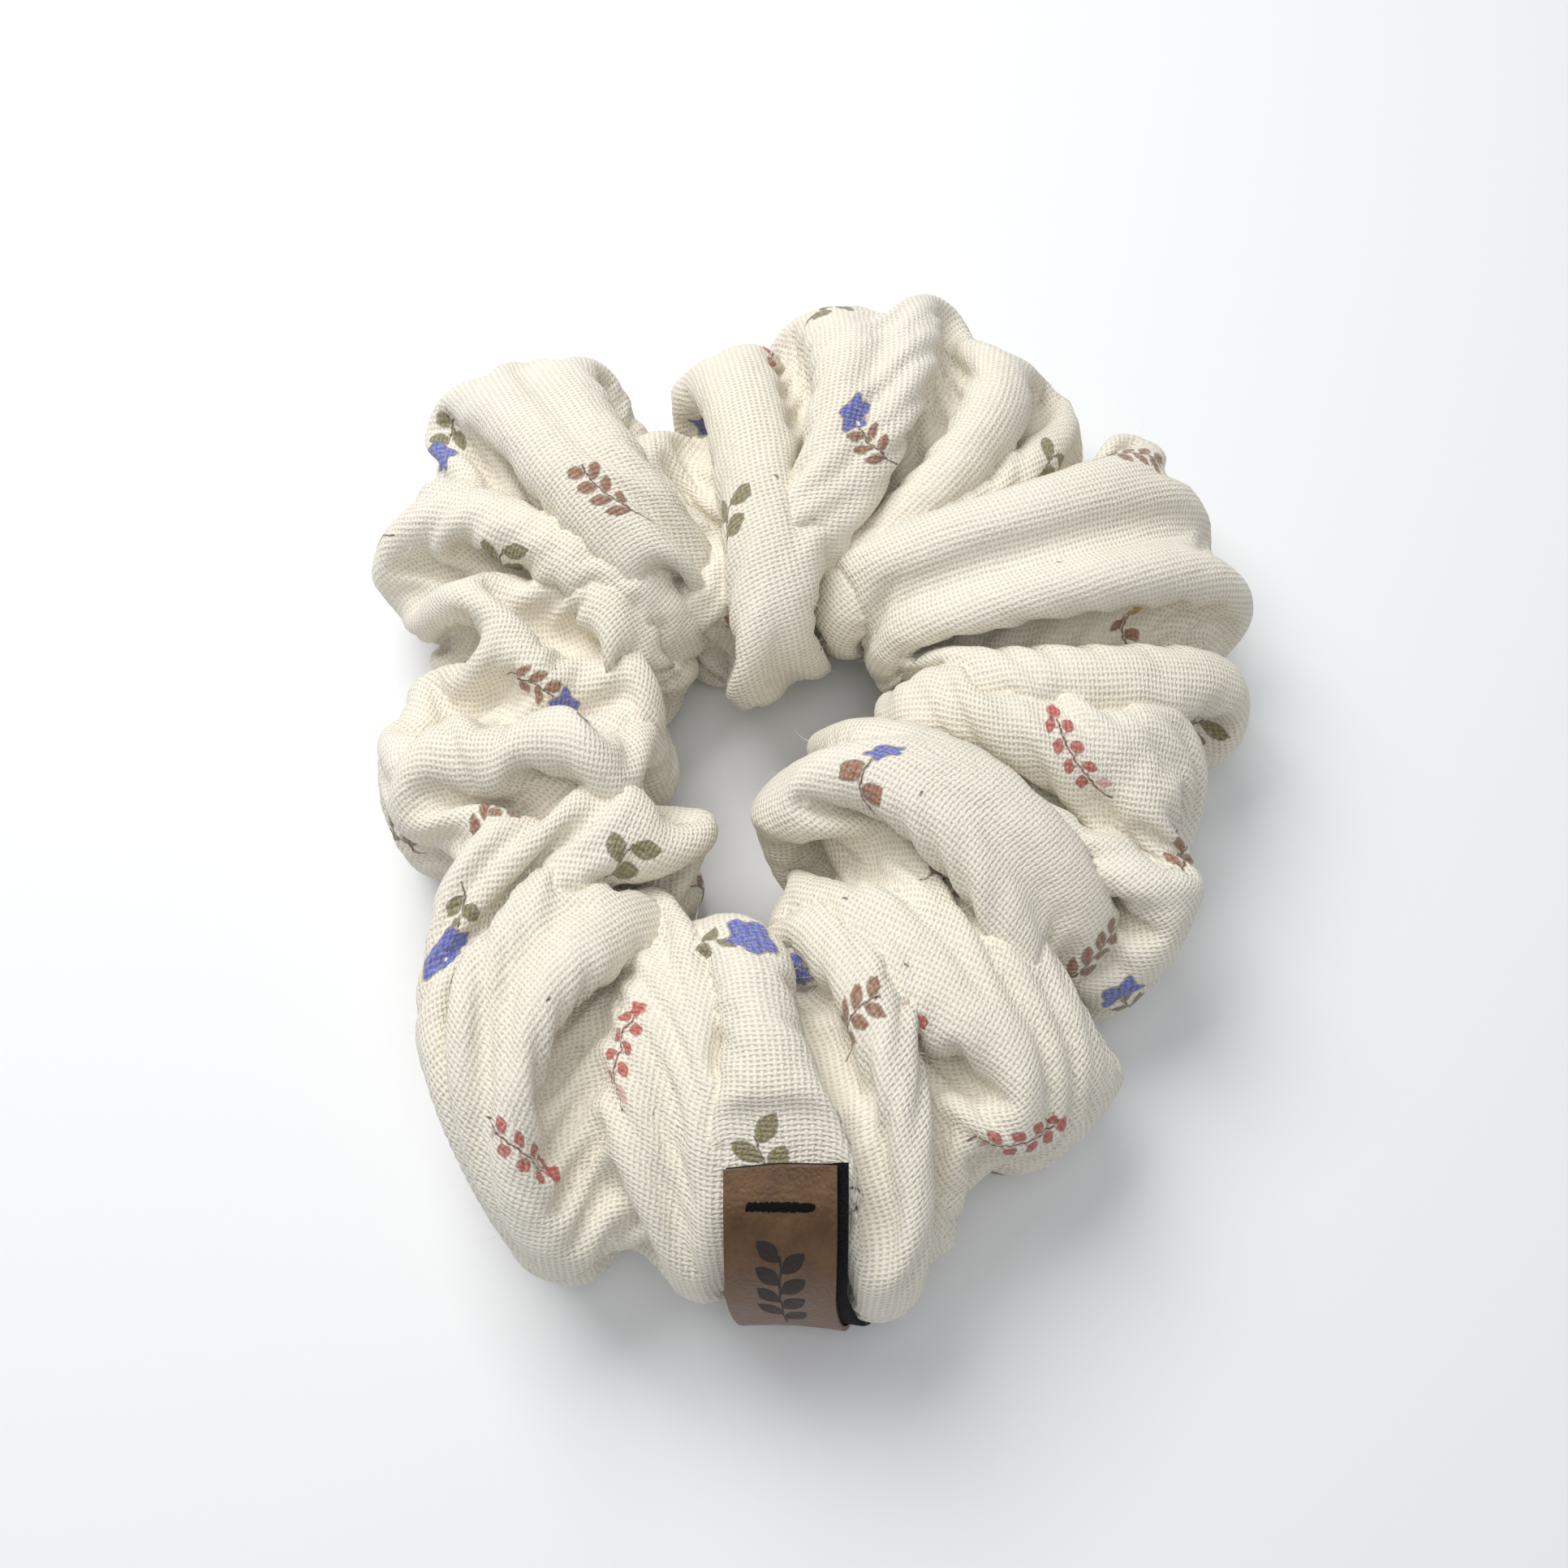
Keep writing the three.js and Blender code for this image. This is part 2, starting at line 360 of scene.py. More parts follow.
def push_apart(grid, pairs, thickness):
    points = grid.reshape(-1, 3)
    first, second = pairs
    gap = points[first] - points[second]
    length = np.sqrt((gap * gap).sum(1)) + 1e-9
    tight = length < thickness
    first, second, gap, length = first[tight], second[tight], gap[tight], length[tight]
    push = gap * ((thickness - length) / length * 0.45)[:, None]
    total = len(points)
    touches = np.bincount(first, minlength=total) + np.bincount(second, minlength=total)
    share = np.maximum(1, touches * 0.5)
    for axis in range(3):
        moved = np.bincount(first, push[:, axis], total) - np.bincount(second, push[:, axis], total)
        points[:, axis] += moved / share


def keep_off_elastic(grid):
    from_middle = grid - ELASTIC_MIDDLE
    turn = np.arctan2(from_middle[..., 1], from_middle[..., 0])
    wide, long = ELASTIC_HALF
    radius = wide * long / np.hypot(long * np.cos(turn), wide * np.sin(turn))
    ring = np.stack([radius * np.cos(turn), radius * np.sin(turn), np.zeros_like(turn)], -1)
    gap = from_middle - ring
    length = np.sqrt((gap * gap).sum(-1, keepdims=True)) + 1e-9
    grid += np.where(length < ELASTIC_CLEARANCE, gap * (ELASTIC_CLEARANCE / length - 1) * 0.5, 0)


print("solver ready")


# %% [markdown]
# The folded label holds the cloth's outer edge like a clip. It is one more thing the cloth may not pass
# through: points near it that lie outside the label's inner side are moved back in, and that makes the
# tuck. At its sewn end the label also draws the cloth up to itself.

# %% Say where the label is
LABEL_MIDDLE = -3.5
LABEL_WIDTH = 12.5
LABEL_BEND = [
    (-54.0, 32.2), (-59.5, 30.0), (-64.3, 24.8), (-66.9, 17.6), (-67.5, 9.6),
    (-66.1, 4.2), (-62.1, 2.7), (-57.1, 4.6), (-52.9, 7.6),
]
LABEL_REACH = 2.0
LABEL_FRONT = -46.0
LABEL_STEP = 6.0
CLOTH_UNDER_LABEL = 0.5
SEWN_PART = 30
SEWN_DEPTH = 9.0
SEWN_PULL = 0.2
END_REACH = 7.0


def smooth_line(corners, parts):
    """A smooth curve through the corners, as points close together."""
    corners = np.array(corners)
    knots = np.array([2 * corners[0] - corners[1], *corners, 2 * corners[-1] - corners[-2]])
    line = []
    for before, start, end, after in zip(knots, knots[1:], knots[2:], knots[3:]):
        for t in np.arange(parts) / parts:
            bend = (2 * before - 5 * start + 4 * end - after) * t * t
            twist = (3 * (start - end) + after - before) * t ** 3
            line.append(start + ((end - before) * t + bend + twist) / 2)
    line.append(knots[-2])
    return np.array(line)


label_line = smooth_line(LABEL_BEND, 12)
label_way = np.gradient(label_line, axis=0)
label_way /= np.linalg.norm(label_way, axis=1, keepdims=True)
label_out = np.stack([label_way[:, 1], -label_way[:, 0]], 1)
label_length = float(np.linalg.norm(np.diff(label_line, axis=0), axis=1).sum())
print("label is", round(label_length, 1), "mm long round its bend")


def keep_in_label(grid):
    aside = np.abs(grid[..., 0] - LABEL_MIDDLE)
    near = (aside < LABEL_WIDTH / 2 + LABEL_REACH) & (grid[..., 1] < LABEL_FRONT)
    if not near.any():
        return
    held = grid[near]
    gap = held[:, None, 1:] - label_line[None]
    nearest = (gap * gap).sum(-1).argmin(1)
    offset = gap[np.arange(len(held)), nearest]
    height = (offset * label_out[nearest]).sum(1)
    past_end = np.clip(-(offset * label_way[nearest]).sum(1), 0, None) * (nearest == 0)
    fade = np.clip((LABEL_WIDTH / 2 + LABEL_REACH - aside[near]) / LABEL_REACH, 0, 1)
    fade *= np.clip(1 - past_end / END_REACH, 0, 1)
    too_far = height + CLOTH_UNDER_LABEL
    sewn = (nearest < SEWN_PART) & (too_far > -SEWN_DEPTH)
    drawn_up = np.where(sewn, too_far * SEWN_PULL, 0)
    shift = np.where(too_far > 0, np.minimum(too_far, LABEL_STEP), drawn_up) * fade
    held[:, 1:] -= shift[:, None] * label_out[nearest]
    grid[near] = held


# %% Settle the cloth, first roughly, then finely
ROUGH_STEPS = 140
FINE_STEPS = 36
PULL_TO_DRAWING = 0.03
PRESSURE = 0.025
ROUGH_THICKNESS = 1.7
FINE_THICKNESS = 1.0
STIFF = ((2, 0.6), (3, 0.4), (4, 0.3))
SOFT = ((2, 0.4), (4, 0.1))
FINE_PULL = 0.05
FINE_PRESSURE = 0.02
FULLNESS = 1.12
SMALL_WRINKLE = 0.3
LARGE_WRINKLE = 0.5


def crinkle(rows, around, smooth, seed):
    """Smooth random shifts: chance supplies the small wrinkles that nobody would draw."""
    noise = np.fft.fft2(np.random.default_rng(seed).normal(size=(rows, around, 3)), axes=(0, 1))
    along, across = np.fft.fftfreq(rows)[:, None], np.fft.fftfreq(around)
    waves = along ** 2 * smooth[0] ** 2 + across ** 2 * smooth[1] ** 2
    noise *= np.exp(-2 * math.pi ** 2 * waves)[..., None]
    noise = np.fft.ifft2(noise, axes=(0, 1)).real
    return noise / noise.std()


def settle(grid, goal, steps, thickness, bends, pull, pressure, fullness=1.0):
    spacing = (CLOTH_LENGTH / len(grid) * fullness, CLOTH_ROUND / grid.shape[1] * fullness)
    last = grid.copy()
    for step in range(steps):
        moved = grid + KEPT_SPEED * (grid - last)
        last, grid = grid, moved
        grid[..., 2] -= GRAVITY
        grid += pull * (goal - grid) + pressure * outward(grid)
        for _ in range(3):
            hold_threads(grid, spacing, bends)
        if step % 2 == 0:
            pairs = touching_pairs(grid, thickness, spacing)
        for _ in range(2):
            push_apart(grid, pairs, thickness)
        keep_off_elastic(grid)
        keep_in_label(grid)
        grid[..., 2] = np.maximum(grid[..., 2], TABLE_GAP)
    return grid


def refine(grid):
    """Twice as many rows and points, with the new ones on a smooth curve between the old."""
    for axis in (0, 1):
        ahead = np.roll(grid, -1, axis)
        between = (9 * (grid + ahead) - np.roll(grid, 1, axis) - np.roll(grid, -2, axis)) / 16
        grid = np.stack([grid, between], axis + 1)
        shape = list(grid.shape)
        shape[axis:axis + 2] = [shape[axis] * 2]
        grid = grid.reshape(shape)
    return grid


def gather_cloth():
    grid = drawn + SMALL_WRINKLE * crinkle(ROWS, AROUND, (3, 3), 5)
    grid = settle(grid, drawn, ROUGH_STEPS, ROUGH_THICKNESS, STIFF, PULL_TO_DRAWING, PRESSURE)
    grid = refine(grid)
    goal = grid.copy()
    grid += SMALL_WRINKLE * crinkle(2 * ROWS, 2 * AROUND, (5, 3), 8)
    grid += LARGE_WRINKLE * crinkle(2 * ROWS, 2 * AROUND, (9, 6), 3)
    return settle(grid, goal, FINE_STEPS, FINE_THICKNESS, SOFT, FINE_PULL, FINE_PRESSURE, FULLNESS)


gathered = gather_cloth()
row_length = np.linalg.norm(np.roll(gathered, -1, 0) - gathered, axis=-1).sum(0)
round_length = np.linalg.norm(np.roll(gathered, -1, 1) - gathered, axis=-1).sum(1)
print("cloth is", row_length.mean().round(), "mm along and", round_length.mean().round(), "mm round")
print("box", gathered.min((0, 1)).round(1), gathered.max((0, 1)).round(1))


# %% [markdown]
# ## Turn the grid into cloth
#
# The grid becomes two skins: the outer face at full detail, and the lining face half a millimetre inside
# it with every second row, because nobody sees it. Both keep a flat map of the cloth in metres, so that
# the weave keeps its scale in every fold.

# %% Build the cover
CLOTH_THICKNESS = 0.5


def grid_faces(rows, around, start):
    row, point = np.meshgrid(np.arange(rows), np.arange(around), indexing="ij")
    next_row, next_point = (row + 1) % rows, (point + 1) % around
    corners = [(row, point), (next_row, point), (next_row, next_point), (row, next_point)]
    return np.stack([start + r * around + p for r, p in corners], -1).reshape(-1, 4)


def flat_places(rows, around):
    """Where each face's four corners lie on the flat strip, in metres."""
    row, point = np.meshgrid(np.arange(rows), np.arange(around), indexing="ij")
    corners = [(row, point), (row + 1, point), (row + 1, point + 1), (row, point + 1)]
    places = [np.stack([r * CLOTH_LENGTH / rows, p * CLOTH_ROUND / around], -1) for r, p in corners]
    return np.stack(places, -2).reshape(-1, 2) * MM


def build_cover():
    lining = (gathered - CLOTH_THICKNESS * outward(gathered))[::2, ::2]
    rows, around, _ = gathered.shape
    faces = grid_faces(rows, around, 0)
    inner = grid_faces(rows // 2, around // 2, rows * around)[:, ::-1]
    points = np.concatenate([gathered.reshape(-1, 3), lining.reshape(-1, 3)])
    mesh = mesh_of("cover", points, np.concatenate([faces, inner]).tolist())
    inner_places = flat_places(rows // 2, around // 2).reshape(-1, 4, 2)[:, ::-1].reshape(-1, 2)
    places = np.concatenate([flat_places(rows, around), inner_places])
    mesh.uv_layers.new(name="cloth").data.foreach_set("uv", places.ravel())
    mesh.shade_smooth()
    return add_object("cover", mesh)


cover = build_cover()
print("cover has", len(cover.data.polygons), "faces")

# %% [markdown]
# ## The gauze and its print
#
# Double gauze is an open plain weave: thick soft threads with little square gaps, through which the
# second layer shows in shadow; that shade is painted into the gaps as a darker colour. The material draws
# it with cosines of the place on the flat cloth, because a cosine that is 1 on every thread and 0 between
# them is all that a plain weave needs. Two helpers keep the node work short.

# %% Write the node helpers
class Wire:
    """The output of one node, so that a drawing can be written as sums instead of node by node."""

    def __init__(self, tree, socket):
        self.tree, self.socket = tree, socket

    def math(self, operation, *others):
        node = self.tree.nodes.new("ShaderNodeMath")
        node.operation = operation
        for slot, value in zip(node.inputs, (self, *others)):
            if isinstance(value, Wire):
                self.tree.links.new(value.socket, slot)
            else:
                slot.default_value = value
        return Wire(self.tree, node.outputs[0])

    def __add__(self, other):
        return self.math("ADD", other)

    def __sub__(self, other):
        return self.math("SUBTRACT", other)

    def __rsub__(self, other):
        return (self * -1) + other

    def __mul__(self, other):
        return self.math("MULTIPLY", other)

    def __truediv__(self, other):
        return self.math("DIVIDE", other)

    def size(self):
        return self.math("ABSOLUTE")

    def cosine(self):
        return self.math("COSINE")

    def between(self, low, high):
        """0 below low, 1 above high, and a straight ramp from one to the other."""
        return ((self - low) / (high - low)).math("MAXIMUM", 0.0).math("MINIMUM", 1.0)


def join(x, y, z=0.0):
    node = x.tree.nodes.new("ShaderNodeCombineXYZ")
    for slot, value in zip(node.inputs, (x, y, z)):
        if isinstance(value, Wire):
            x.tree.links.new(value.socket, slot)
        else:
            slot.default_value = value
    return Wire(x.tree, node.outputs[0])


def split(vector):
    node = vector.tree.nodes.new("ShaderNodeSeparateXYZ")
    vector.tree.links.new(vector.socket, node.inputs[0])
    return [Wire(vector.tree, out) for out in node.outputs]


def noise(vector, scale, detail=2.0):
    """Smooth chance from 0 to 1, about one change in every 1/scale."""
    node = vector.tree.nodes.new("ShaderNodeTexNoise")
    node.inputs["Scale"].default_value = scale
    node.inputs["Detail"].default_value = detail
    vector.tree.links.new(vector.socket, node.inputs["Vector"])
    return Wire(vector.tree, node.outputs[0])


def blend_colour(share, first, second):
    node = share.tree.nodes.new("ShaderNodeMix")
    node.data_type = "RGBA"
    share.tree.links.new(share.socket, node.inputs[0])
    for slot, value in ((node.inputs[6], first), (node.inputs[7], second)):
        if isinstance(value, Wire):
            share.tree.links.new(value.socket, slot)
        else:
            slot.default_value = (*value, 1)
    return Wire(share.tree, node.outputs[2])


def map_of(tree, name):
    node = tree.nodes.new("ShaderNodeUVMap")
    node.uv_map = name
    return Wire(tree, node.outputs[0])


def attribute(tree, name):
    node = tree.nodes.new("ShaderNodeAttribute")
    node.attribute_name = name
    return Wire(tree, node.outputs["Vector"])


def place_of(tree):
    return Wire(tree, tree.nodes.new("ShaderNodeTexCoord").outputs["Object"])


def bump(height, distance, under=None):
    node = height.tree.nodes.new("ShaderNodeBump")
    node.inputs["Distance"].default_value = distance
    height.tree.links.new(height.socket, node.inputs["Height"])
    if under:
        height.tree.links.new(under.socket, node.inputs["Normal"])
    return Wire(height.tree, node.outputs[0])


def shade(material, **inputs):
    shader = material.node_tree.nodes["Principled BSDF"]
    for name, value in inputs.items():
        slot = shader.inputs[name.replace("_", " ")]
        if isinstance(value, Wire):
            material.node_tree.links.new(value.socket, slot)
        else:
            slot.default_value = value


print("node helpers ready")


# %% [markdown]
# The print is a scatter of wild flowers, each a few millimetres long. They are all drawn by one recipe: a
# thin curved stem, pairs of leaves or berries up both sides, and a bloom on top. What kind a flower is
# comes from a few sizes and colours, so the table of kinds is short. Flowers seen from the front are put
# where they show, by their place in that view, and the rest of the strip is filled in between.

# %% Name the flowers
BLUE = (0.080, 0.115, 0.49)
RUST = (0.31, 0.095, 0.040)
RED = (0.56, 0.055, 0.055)
OLIVE = (0.19, 0.165, 0.045)
MUSTARD = (0.56, 0.34, 0.01)
DARK = (0.075, 0.045, 0.03)

KINDS = {
    # leaf length and half width, bloom radius, low end, high end, leaf spacing, leaf and bloom colour
    "bellflower": (2.0, 0.42, 2.1, -5.4, 1.7, 1.9, RUST, BLUE),
    "bunch": (2.3, 0.6, 2.6, -4.9, 0.0, 2.4, OLIVE, BLUE),
    "berries": (1.2, 0.58, 0.95, -5.4, 4.0, 2.1, RED, RED),
    "fern": (2.2, 0.46, 0.0, -5.4, 3.4, 1.9, RUST, RUST),
    "twig": (3.0, 0.75, 0.0, -4.4, 0.9, 2.9, OLIVE, OLIVE),
    "bud": (2.5, 0.95, 1.6, -4.4, 2.6, 4.4, RUST, BLUE),
    "button": (1.8, 0.7, 1.8, -4.2, 1.2, 3.6, RUST, MUSTARD),
    "speck": (0.0, 0.01, 0.0, -0.35, 0.35, 1.0, DARK, DARK),
}

# how far right and up of the view's middle, in mm, which way its top points, in degrees, and what it is
SEEN_FLOWERS = [
    (-44, 44, 245, "bunch"), (-24, 38, 135, "fern"), (-37, 30, 80, "twig"), (-8, 58, 250, "bunch"),
    (6, 62, 10, "twig"), (28, 59, 30, "fern"), (11, 45, 120, "bellflower"), (-7, 36, 80, "twig"),
    (35, 43, 30, "twig"), (46, 43, 20, "fern"), (44, 21, 80, "button"), (54, 8, 30, "twig"),
    (38, 3, 120, "berries"), (51, -9, 45, "bellflower"), (41, -22, 60, "fern"), (9.5, 0, 78, "bud"),
    (21, -12, 10, "fern"), (-32, 13, 325, "bellflower"), (-38, -3, 60, "fern"), (-20, -9, 45, "twig"),
    (-43, -19, 250, "bunch"), (-21, -35, 90, "berries"), (-34, -48, 335, "berries"),
    (31, -47, 5, "berries"), (-3, -47, 110, "twig"), (-7, -20, 10, "bunch"), (9, -30, 45, "fern"), (-51, -6, 110, "twig"),
    (-1, 40, 0, "speck"), (36, 29, 0, "speck"), (-30, -28, 60, "speck"), (16, -23, 0, "speck"),
    (9, -52, 45, "speck"), (-48, 6, 0, "speck"), (18, -2, 90, "speck"), (8, -15, 0, "speck"),
]
FLOWER_REACH = 7.4
FILL_SPACING = (24.0, 18.5)
FILL_CLEARANCE = 16.0
SEEN_WITHIN = 3 * MM
NOTHING = (99.0, 99.0)


def face_middles():
    """Where the middle of each face lies on the flat strip, in mm."""
    rows, around, _ = gathered.shape
    along = (np.arange(rows) + 0.5) / rows * CLOTH_LENGTH
    across = (np.arange(around) + 0.5) / around * CLOTH_ROUND
    return np.stack(np.meshgrid(along, across, indexing="ij"), -1).reshape(-1, 2)


def flowers_in_view():
    """Where the seen flowers lie on the flat strip, and which way their tops point there."""
    camera = bpy.context.scene.camera
    turned = camera.rotation_euler.to_matrix()
    rows, around, _ = gathered.shape
    found = []
    bpy.context.view_layer.update()
    for right, up, turn, kind in SEEN_FLOWERS:
        aim = LOOK_AT + turned @ Vector((right, up, 0)) * MM
        hit, _, _, face = cover.ray_cast(camera.location, (aim - camera.location).normalized())
        if not hit or face >= rows * around:
            continue
        row, point = divmod(face, around)
        here = gathered[row, point]
        along = gathered[(row + 1) % rows, point] - here
        across = gathered[row, (point + 1) % around] - here
        way = turned @ Vector((math.cos(math.radians(turn)), math.sin(math.radians(turn)), 0))
        sides = np.stack([along / np.linalg.norm(along), across / np.linalg.norm(across)])
        on_cloth = np.linalg.lstsq(sides.T, np.array(way), rcond=None)[0]
        place = ((row + 0.5) / rows * CLOTH_LENGTH, (point + 0.5) / around * CLOTH_ROUND)
        found.append((*place, math.atan2(on_cloth[1], on_cloth[0]), kind))
    return found


def gap_on_strip(places, flower):
    """Steps from a flower to the places, the short way round the tube and along the ring."""
    size = np.array([CLOTH_LENGTH, CLOTH_ROUND])
    return (places - flower + size / 2) % size - size / 2


def is_seen(place):
    rows, around, _ = gathered.shape
    row, point = int(place[0] / CLOTH_LENGTH * rows) % rows, int(place[1] / CLOTH_ROUND * around) % around
    camera = bpy.context.scene.camera
    here = Vector(gathered[row, point]) * MM
    hit, first, _, _ = cover.ray_cast(camera.location, (here - camera.location).normalized())
    return not hit or (first - here).length < SEEN_WITHIN


def scatter_flowers(found):
    rng = np.random.default_rng(12)
    flowers = list(found)
    names = [kind for kind in KINDS if kind != "speck"]
    for i, along in enumerate(np.arange(0, CLOTH_LENGTH - 9, FILL_SPACING[0])):
        for across in np.arange(FILL_SPACING[1] * (i % 2) / 2, CLOTH_ROUND - 6, FILL_SPACING[1]):
            place = np.array([along, across]) + rng.uniform(-3, 3, 2)
            turn, kind = rng.uniform(0, 2 * math.pi), names[rng.integers(len(names))]
            near = [np.hypot(*gap_on_strip(place, np.array(f[:2]))) for f in flowers if f[3] != "speck"]
            if (not near or min(near) > FILL_CLEARANCE) and not is_seen(place):
                flowers.append((*place, turn, kind))
    return flowers


def lay_print():
    """Give every face the flower nearest to it, and the place of its corners seen from that flower."""
    flowers = scatter_flowers(flowers_in_view())
    middles = face_middles()
    distance = np.stack([np.hypot(*gap_on_strip(middles, np.array(f[:2])).T) for f in flowers])
    nearest = distance.argmin(0)
    blank = distance.min(0) > FLOWER_REACH
    outer = len(middles)
    corners = flat_places(*gathered.shape[:2]).reshape(-1, 4, 2) / MM
    centres = np.array([f[:2] for f in flowers])[nearest]
    turns = np.array([f[2] for f in flowers])[nearest]
    first = gap_on_strip(middles, centres)
    step = corners - middles[:, None] + first[:, None]
    up = np.stack([np.cos(turns), np.sin(turns)], -1)[:, None]
    beside = step[..., 0] * up[..., 1] - step[..., 1] * up[..., 0]
    local = np.stack([beside, (step * up).sum(-1)], -1)
    local[blank] = NOTHING
    mesh = cover.data
    everywhere = np.full((len(mesh.polygons), 4, 2), NOTHING[0])
    everywhere[:outer] = local
    mesh.uv_layers.new(name="print").data.foreach_set("uv", everywhere.ravel())
    sizes = [KINDS[f[3]] for f in flowers]
    layers = {
        "flower_size": np.array([kind[:3] for kind in sizes]),
        "flower_stem": np.array([kind[3:6] for kind in sizes]),
        "flower_leaf": np.array([kind[6] for kind in sizes]),
        "flower_bloom": np.array([kind[7] for kind in sizes]),
    }
    for name, values in layers.items():
        layer = mesh.attributes.new(name, "FLOAT_VECTOR", "CORNER")
        filled = np.zeros((len(mesh.polygons), 4, 3))
        filled[:outer] = values[nearest][:, None]
        layer.data.foreach_set("vector", filled.ravel())
    print(len(flowers), "flowers printed on the strip")


lay_print()

# %% Draw the flowers
LEAF_SLANT = math.radians(48)
FLOWER_SCALE = 1.15
STEM_HALF = 0.12
BARE_FOOT = 1.2
OUTLINE = 0.12
INK_EDGE = 0.09


def draw_sprig(x, y, ends, spacing, leaf):
    """A stem with pairs of leaves up it. A leaf is its length, half width, and stalk as a share of it."""
    low, high = ends
    length, half, stalk = leaf
    beside = x.size()
    on_stem = (y - low).between(0.0, 0.15) * ((y * -1) + high).between(0.0, 0.15)
    stem = (beside * -1 + STEM_HALF).between(-INK_EDGE, INK_EDGE) * on_stem
    side = x.math("GREATER_THAN", 0.0) * 0.45
    step = (y - low + side * spacing).math("FLOORED_MODULO", spacing)
    along = (beside * math.sin(LEAF_SLANT) + step * math.cos(LEAF_SLANT) - stalk) / length
    aside = (step * math.sin(LEAF_SLANT) - beside * math.cos(LEAF_SLANT)).size()
    belly = along * 2 - 1
    inside = (belly * belly * -1 + 1) * half * 1.15 - aside
    foot = y - step
    room = (foot - low).between(BARE_FOOT - 0.1, BARE_FOOT) * (foot * -1 + high).between(0.3, 0.5)
    leaves = inside.between(-INK_EDGE, INK_EDGE) * room
    lines = (inside.size() * -1 + OUTLINE).between(-INK_EDGE, INK_EDGE) * room
    vein = (aside * -1 + 0.08).between(-INK_EDGE, 0.05) * room * (along * -1 + 0.75).between(0.0, 0.1)
    return stem, leaves, lines.math("MAXIMUM", vein * 0.8)


def draw_flowers(tree):
    """How much ink there is, and its colour. Round berries get longer stalks than narrow leaves."""
    place = map_of(tree, "print")
    x, y = [side / FLOWER_SCALE for side in split(place)[:2]]
    x = x + (noise(place, 1.0) - 0.5) * 0.7
    leaf_length, leaf_half, bloom_size = split(attribute(tree, "flower_size"))
    low, high, spacing = split(attribute(tree, "flower_stem"))
    leaf_colour, bloom_colour = attribute(tree, "flower_leaf"), attribute(tree, "flower_bloom")
    bend = x - y * y * 0.05
    stalk = (leaf_length * -0.2 + leaf_half * 1.6) / leaf_length
    stem, leaves, leaf_lines = draw_sprig(bend, y, (low, high), spacing, (leaf_length, leaf_half, stalk))

    up = y - high - bloom_size * 0.8
    reach = (bend * bend + up * up).math("SQRT")
    petals = (up.math("ARCTAN2", bend) * 5).cosine()
    inside = bloom_size * (petals * 0.13 + 0.8) - reach
    there = bloom_size.between(0.05, 0.1)
    bloom = inside.between(-INK_EDGE, INK_EDGE) * there
    petal_lines = (inside.size() * -1 + OUTLINE).between(-INK_EDGE, INK_EDGE) * there
    creases = (petals * -1).between(0.55, 1.0) * bloom

    colour = blend_colour(bloom, leaf_colour, bloom_colour)
    lines = stem.math("MAXIMUM", leaf_lines * 0.75)
    lines = lines.math("MAXIMUM", petal_lines * 0.5).math("MAXIMUM", creases * 0.45)
    colour = blend_colour(lines, colour, DARK)
    ink = stem.math("MAXIMUM", leaves * 0.92).math("MAXIMUM", bloom * 0.95)
    ink = ink.math("MAXIMUM", leaf_lines * 0.8).math("MAXIMUM", petal_lines * 0.7)
    return ink, colour


# %% Weave the gauze
THREAD_SPACING = (0.70 * MM, 0.53 * MM)
THREAD_COLOUR = (0.90, 0.855, 0.75)
THREAD_SHADE = (0.86, 0.795, 0.66)
# painted shade: the second layer seen through the weave's gaps, coloured as if in shadow
GAP_SHADOW_COLOUR = (0.58, 0.505, 0.375)
WEAVE_DEPTH = 0.14 * MM
CRINKLE_DEPTH = 0.55 * MM
CRINKLE_SCALE = (300.0, 170.0)


def weave(tree):
    """The height of the weave, how much of a gap there is, a cloudy chance for its shade, and its map."""
    place = map_of(tree, "cloth")
    along, across, _ = split(place)
    wander = (noise(place, 55.0, 3.0) - 0.5) * 2.4
    lift = (noise(place, 70.0, 3.0) - 0.5) * 2.0
    a = along / THREAD_SPACING[0] + wander
    b = across / THREAD_SPACING[1] + lift
    up_thread, long_thread = (a * math.pi).cosine(), (b * math.pi).cosine()
    slub_up = noise(join(a.math("ROUND") * 3.7, b * 0.16), 1.0)
    slub_long = noise(join(a * 0.16, b.math("ROUND") * 3.7, 9.0), 1.0)
    over = up_thread * long_thread * 0.33
    body_up = up_thread.size() * (slub_up * 0.8 + 0.58)
    body_long = long_thread.size() * (slub_long * 0.8 + 0.62)
    height = (body_up + over).math("MAXIMUM", body_long - over)
    cover_share = body_up.math("MAXIMUM", body_long)
    openness = noise(place, 75.0, 4.0).between(0.36, 0.64) * 0.75 + 0.25
    gap = (1 - cover_share.between(0.55, 0.88)) * openness
    cloud = noise(place, 28.0, 3.0)
    return height, gap, cloud, place


